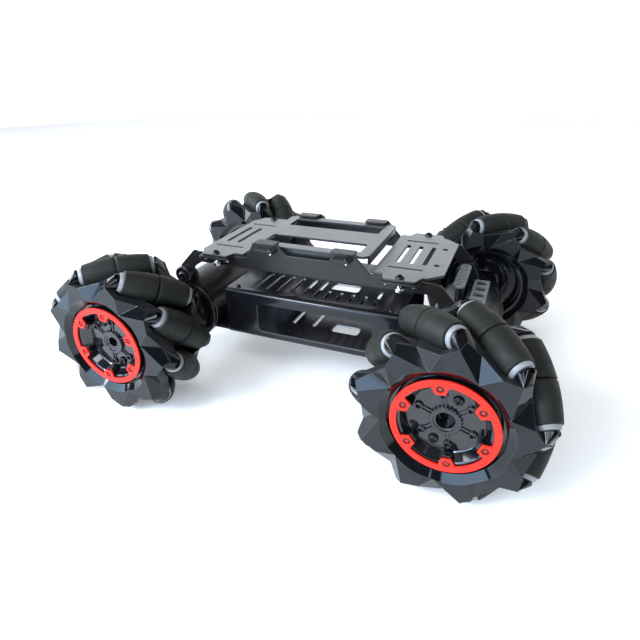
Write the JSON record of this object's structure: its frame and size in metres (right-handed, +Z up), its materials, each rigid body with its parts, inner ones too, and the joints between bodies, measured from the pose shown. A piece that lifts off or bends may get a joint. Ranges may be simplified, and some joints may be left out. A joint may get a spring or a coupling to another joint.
{
  "type": "four wheel robot chassis",
  "caption": "Flat sheet metal robot chassis on mecanum wheels: angled free-spinning rollers around star-shaped plastic hubs, slotted deck plates and an open belly tray.",
  "frame": {"origin": "centre of the footprint on the ground plane", "axes": "+X towards the front of the chassis, +Y to its left side, +Z up"},
  "size_m": [0.2923, 0.2132, 0.098],
  "materials": {
    "deck_metal": "anodised satin grey",
    "rail_metal": "black anodised, satin",
    "tray_metal": "black anodised, semi-gloss",
    "axle_metal": "black anodised, satin",
    "motor_metal": "black, satin",
    "shell_plastic": "fine matte with glossy hub",
    "red_plastic": "satin gloss",
    "rubber": "matte"
  },
  "bodies": {
    "chassis": {"belly_tray": "tray_metal", "right_side_rail": "rail_metal", "left_side_rail": "rail_metal", "front_deck_plate": "deck_metal", "rear_deck_plate": "deck_metal", "raised_middle_plate": "deck_metal", "front_axle_housing": "axle_metal", "rear_axle_housing": "axle_metal", "front_right_motor": "motor_metal", "rear_right_motor": "motor_metal", "front_left_motor": "motor_metal", "rear_left_motor": "motor_metal"},
    "front_right_wheel": {"front_right_outer_shell": "shell_plastic", "front_right_inner_shell": "shell_plastic", "front_right_trim_ring": "red_plastic"},
    "front_right_roller_1_body": {"front_right_roller_1": "rubber"},
    "front_right_roller_2_body": {"front_right_roller_2": "rubber"},
    "front_right_roller_3_body": {"front_right_roller_3": "rubber"},
    "front_right_roller_4_body": {"front_right_roller_4": "rubber"},
    "front_right_roller_5_body": {"front_right_roller_5": "rubber"},
    "front_right_roller_6_body": {"front_right_roller_6": "rubber"},
    "front_right_roller_7_body": {"front_right_roller_7": "rubber"},
    "front_right_roller_8_body": {"front_right_roller_8": "rubber"},
    "front_right_roller_9_body": {"front_right_roller_9": "rubber"},
    "rear_right_wheel": {"rear_right_outer_shell": "shell_plastic", "rear_right_inner_shell": "shell_plastic", "rear_right_trim_ring": "red_plastic"},
    "rear_right_roller_1_body": {"rear_right_roller_1": "rubber"},
    "rear_right_roller_2_body": {"rear_right_roller_2": "rubber"},
    "rear_right_roller_3_body": {"rear_right_roller_3": "rubber"},
    "rear_right_roller_4_body": {"rear_right_roller_4": "rubber"},
    "rear_right_roller_5_body": {"rear_right_roller_5": "rubber"},
    "rear_right_roller_6_body": {"rear_right_roller_6": "rubber"},
    "rear_right_roller_7_body": {"rear_right_roller_7": "rubber"},
    "rear_right_roller_8_body": {"rear_right_roller_8": "rubber"},
    "rear_right_roller_9_body": {"rear_right_roller_9": "rubber"},
    "front_left_wheel": {"front_left_outer_shell": "shell_plastic", "front_left_inner_shell": "shell_plastic", "front_left_trim_ring": "red_plastic"},
    "front_left_roller_1_body": {"front_left_roller_1": "rubber"},
    "front_left_roller_2_body": {"front_left_roller_2": "rubber"},
    "front_left_roller_3_body": {"front_left_roller_3": "rubber"},
    "front_left_roller_4_body": {"front_left_roller_4": "rubber"},
    "front_left_roller_5_body": {"front_left_roller_5": "rubber"},
    "front_left_roller_6_body": {"front_left_roller_6": "rubber"},
    "front_left_roller_7_body": {"front_left_roller_7": "rubber"},
    "front_left_roller_8_body": {"front_left_roller_8": "rubber"},
    "front_left_roller_9_body": {"front_left_roller_9": "rubber"},
    "rear_left_wheel": {"rear_left_outer_shell": "shell_plastic", "rear_left_inner_shell": "shell_plastic", "rear_left_trim_ring": "red_plastic"},
    "rear_left_roller_1_body": {"rear_left_roller_1": "rubber"},
    "rear_left_roller_2_body": {"rear_left_roller_2": "rubber"},
    "rear_left_roller_3_body": {"rear_left_roller_3": "rubber"},
    "rear_left_roller_4_body": {"rear_left_roller_4": "rubber"},
    "rear_left_roller_5_body": {"rear_left_roller_5": "rubber"},
    "rear_left_roller_6_body": {"rear_left_roller_6": "rubber"},
    "rear_left_roller_7_body": {"rear_left_roller_7": "rubber"},
    "rear_left_roller_8_body": {"rear_left_roller_8": "rubber"},
    "rear_left_roller_9_body": {"rear_left_roller_9": "rubber"}
  },
  "joints": [
    {"name": "front_right_wheel_spin", "type": "hinge", "parent": "chassis", "child": "front_right_wheel", "pos_m": [0.0978, -0.083, 0.0485], "axis": [0, 1, 0], "continuous": true},
    {"name": "rear_right_wheel_spin", "type": "hinge", "parent": "chassis", "child": "rear_right_wheel", "pos_m": [-0.0978, -0.083, 0.0485], "axis": [0, 1, 0], "continuous": true},
    {"name": "front_left_wheel_spin", "type": "hinge", "parent": "chassis", "child": "front_left_wheel", "pos_m": [0.0978, 0.083, 0.0485], "axis": [0, 1, 0], "continuous": true},
    {"name": "rear_left_wheel_spin", "type": "hinge", "parent": "chassis", "child": "rear_left_wheel", "pos_m": [-0.0978, 0.083, 0.0485], "axis": [0, 1, 0], "continuous": true},
    {"name": "front_right_roller_1_spin", "type": "hinge", "parent": "front_right_wheel", "child": "front_right_roller_1_body", "pos_m": [0.1325, -0.083, 0.06695], "axis": [0.332, -0.7071, -0.6243], "continuous": true},
    {"name": "front_right_roller_2_spin", "type": "hinge", "parent": "front_right_wheel", "child": "front_right_roller_2_body", "pos_m": [0.11252, -0.083, 0.08494], "axis": [0.6556, -0.7071, -0.2649], "continuous": true},
    {"name": "front_right_roller_3_spin", "type": "hinge", "parent": "front_right_wheel", "child": "front_right_roller_3_body", "pos_m": [0.08566, -0.083, 0.08588], "axis": [0.6725, -0.7071, 0.2185], "continuous": true},
    {"name": "front_right_roller_4_spin", "type": "hinge", "parent": "front_right_wheel", "child": "front_right_roller_4_body", "pos_m": [0.06447, -0.083, 0.06933], "axis": [0.3747, -0.7071, 0.5997], "continuous": true},
    {"name": "front_right_roller_5_spin", "type": "hinge", "parent": "front_right_wheel", "child": "front_right_roller_5_body", "pos_m": [0.05888, -0.083, 0.04303], "axis": [-0.0984, -0.7071, 0.7002], "continuous": true},
    {"name": "front_right_roller_6_spin", "type": "hinge", "parent": "front_right_wheel", "child": "front_right_roller_6_body", "pos_m": [0.0715, -0.083, 0.01929], "axis": [-0.5255, -0.7071, 0.4731], "continuous": true},
    {"name": "front_right_roller_7_spin", "type": "hinge", "parent": "front_right_wheel", "child": "front_right_roller_7_body", "pos_m": [0.09643, -0.083, 0.00922], "axis": [-0.7067, -0.7071, 0.0247], "continuous": true},
    {"name": "front_right_roller_8_spin", "type": "hinge", "parent": "front_right_wheel", "child": "front_right_roller_8_body", "pos_m": [0.122, -0.083, 0.01753], "axis": [-0.5572, -0.7071, -0.4353], "continuous": true},
    {"name": "front_right_roller_9_spin", "type": "hinge", "parent": "front_right_wheel", "child": "front_right_roller_9_body", "pos_m": [0.13624, -0.083, 0.04033], "axis": [-0.147, -0.7071, -0.6917], "continuous": true},
    {"name": "rear_right_roller_1_spin", "type": "hinge", "parent": "rear_right_wheel", "child": "rear_right_roller_1_body", "pos_m": [-0.06294, -0.083, 0.03035], "axis": [0.3265, -0.7071, 0.6272], "continuous": true},
    {"name": "rear_right_roller_2_spin", "type": "hinge", "parent": "rear_right_wheel", "child": "rear_right_roller_2_body", "pos_m": [-0.05943, -0.083, 0.05701], "axis": [-0.153, -0.7071, 0.6903], "continuous": true},
    {"name": "rear_right_roller_3_spin", "type": "hinge", "parent": "rear_right_wheel", "child": "rear_right_roller_3_body", "pos_m": [-0.07388, -0.083, 0.07968], "axis": [-0.561, -0.7071, 0.4305], "continuous": true},
    {"name": "rear_right_roller_4_spin", "type": "hinge", "parent": "rear_right_wheel", "child": "rear_right_roller_4_body", "pos_m": [-0.09951, -0.083, 0.08776], "axis": [-0.7064, -0.7071, -0.0308], "continuous": true},
    {"name": "rear_right_roller_5_spin", "type": "hinge", "parent": "rear_right_wheel", "child": "rear_right_roller_5_body", "pos_m": [-0.12435, -0.083, 0.07748], "axis": [-0.5213, -0.7071, -0.4777], "continuous": true},
    {"name": "rear_right_roller_6_spin", "type": "hinge", "parent": "rear_right_wheel", "child": "rear_right_roller_6_body", "pos_m": [-0.13676, -0.083, 0.05363], "axis": [-0.0923, -0.7071, -0.7011], "continuous": true},
    {"name": "rear_right_roller_7_spin", "type": "hinge", "parent": "rear_right_wheel", "child": "rear_right_roller_7_body", "pos_m": [-0.13095, -0.083, 0.02738], "axis": [0.3799, -0.7071, -0.5964], "continuous": true},
    {"name": "rear_right_roller_8_spin", "type": "hinge", "parent": "rear_right_wheel", "child": "rear_right_roller_8_body", "pos_m": [-0.10962, -0.083, 0.01102], "axis": [0.6744, -0.7071, -0.2126], "continuous": true},
    {"name": "rear_right_roller_9_spin", "type": "hinge", "parent": "rear_right_wheel", "child": "rear_right_roller_9_body", "pos_m": [-0.08276, -0.083, 0.01219], "axis": [0.6533, -0.7071, 0.2706], "continuous": true},
    {"name": "front_left_roller_1_spin", "type": "hinge", "parent": "front_left_wheel", "child": "front_left_roller_1_body", "pos_m": [0.12607, 0.083, 0.0758], "axis": [0.4912, 0.7071, -0.5086], "continuous": true},
    {"name": "front_left_roller_2_spin", "type": "hinge", "parent": "front_left_wheel", "child": "front_left_roller_2_body", "pos_m": [0.137, 0.083, 0.05124], "axis": [0.0493, 0.7071, -0.7054], "continuous": true},
    {"name": "front_left_roller_3_spin", "type": "hinge", "parent": "front_left_wheel", "child": "front_left_roller_3_body", "pos_m": [0.12959, 0.083, 0.0254], "axis": [-0.4156, 0.7071, -0.5721], "continuous": true},
    {"name": "front_left_roller_4_spin", "type": "hinge", "parent": "front_left_wheel", "child": "front_left_roller_4_body", "pos_m": [0.10731, 0.083, 0.01037], "axis": [-0.6861, 0.7071, -0.1711], "continuous": true},
    {"name": "front_left_roller_5_spin", "type": "hinge", "parent": "front_left_wheel", "child": "front_left_roller_5_body", "pos_m": [0.08057, 0.083, 0.01318], "axis": [-0.6355, 0.7071, 0.31], "continuous": true},
    {"name": "front_left_roller_6_spin", "type": "hinge", "parent": "front_left_wheel", "child": "front_left_roller_6_body", "pos_m": [0.0619, 0.083, 0.03252], "axis": [-0.2876, 0.7071, 0.646], "continuous": true},
    {"name": "front_left_roller_7_spin", "type": "hinge", "parent": "front_left_wheel", "child": "front_left_roller_7_body", "pos_m": [0.06002, 0.083, 0.05933], "axis": [0.1949, 0.7071, 0.6797], "continuous": true},
    {"name": "front_left_roller_8_spin", "type": "hinge", "parent": "front_left_wheel", "child": "front_left_roller_8_body", "pos_m": [0.07582, 0.083, 0.08108], "axis": [0.5862, 0.7071, 0.3954], "continuous": true},
    {"name": "front_left_roller_9_spin", "type": "hinge", "parent": "front_left_wheel", "child": "front_left_roller_9_body", "pos_m": [0.10191, 0.083, 0.08758], "axis": [0.7032, 0.7071, -0.0739], "continuous": true},
    {"name": "rear_left_roller_1_spin", "type": "hinge", "parent": "rear_left_wheel", "child": "rear_left_roller_1_body", "pos_m": [-0.06294, 0.083, 0.03035], "axis": [0.3265, 0.7071, 0.6272], "continuous": true},
    {"name": "rear_left_roller_2_spin", "type": "hinge", "parent": "rear_left_wheel", "child": "rear_left_roller_2_body", "pos_m": [-0.08276, 0.083, 0.01219], "axis": [0.6533, 0.7071, 0.2706], "continuous": true},
    {"name": "rear_left_roller_3_spin", "type": "hinge", "parent": "rear_left_wheel", "child": "rear_left_roller_3_body", "pos_m": [-0.10962, 0.083, 0.01102], "axis": [0.6744, 0.7071, -0.2126], "continuous": true},
    {"name": "rear_left_roller_4_spin", "type": "hinge", "parent": "rear_left_wheel", "child": "rear_left_roller_4_body", "pos_m": [-0.13095, 0.083, 0.02738], "axis": [0.3799, 0.7071, -0.5964], "continuous": true},
    {"name": "rear_left_roller_5_spin", "type": "hinge", "parent": "rear_left_wheel", "child": "rear_left_roller_5_body", "pos_m": [-0.13676, 0.083, 0.05363], "axis": [-0.0923, 0.7071, -0.7011], "continuous": true},
    {"name": "rear_left_roller_6_spin", "type": "hinge", "parent": "rear_left_wheel", "child": "rear_left_roller_6_body", "pos_m": [-0.12435, 0.083, 0.07748], "axis": [-0.5213, 0.7071, -0.4777], "continuous": true},
    {"name": "rear_left_roller_7_spin", "type": "hinge", "parent": "rear_left_wheel", "child": "rear_left_roller_7_body", "pos_m": [-0.09951, 0.083, 0.08776], "axis": [-0.7064, 0.7071, -0.0308], "continuous": true},
    {"name": "rear_left_roller_8_spin", "type": "hinge", "parent": "rear_left_wheel", "child": "rear_left_roller_8_body", "pos_m": [-0.07388, 0.083, 0.07968], "axis": [-0.561, 0.7071, 0.4305], "continuous": true},
    {"name": "rear_left_roller_9_spin", "type": "hinge", "parent": "rear_left_wheel", "child": "rear_left_roller_9_body", "pos_m": [-0.05943, 0.083, 0.05701], "axis": [-0.153, 0.7071, 0.6903], "continuous": true}
  ]
}
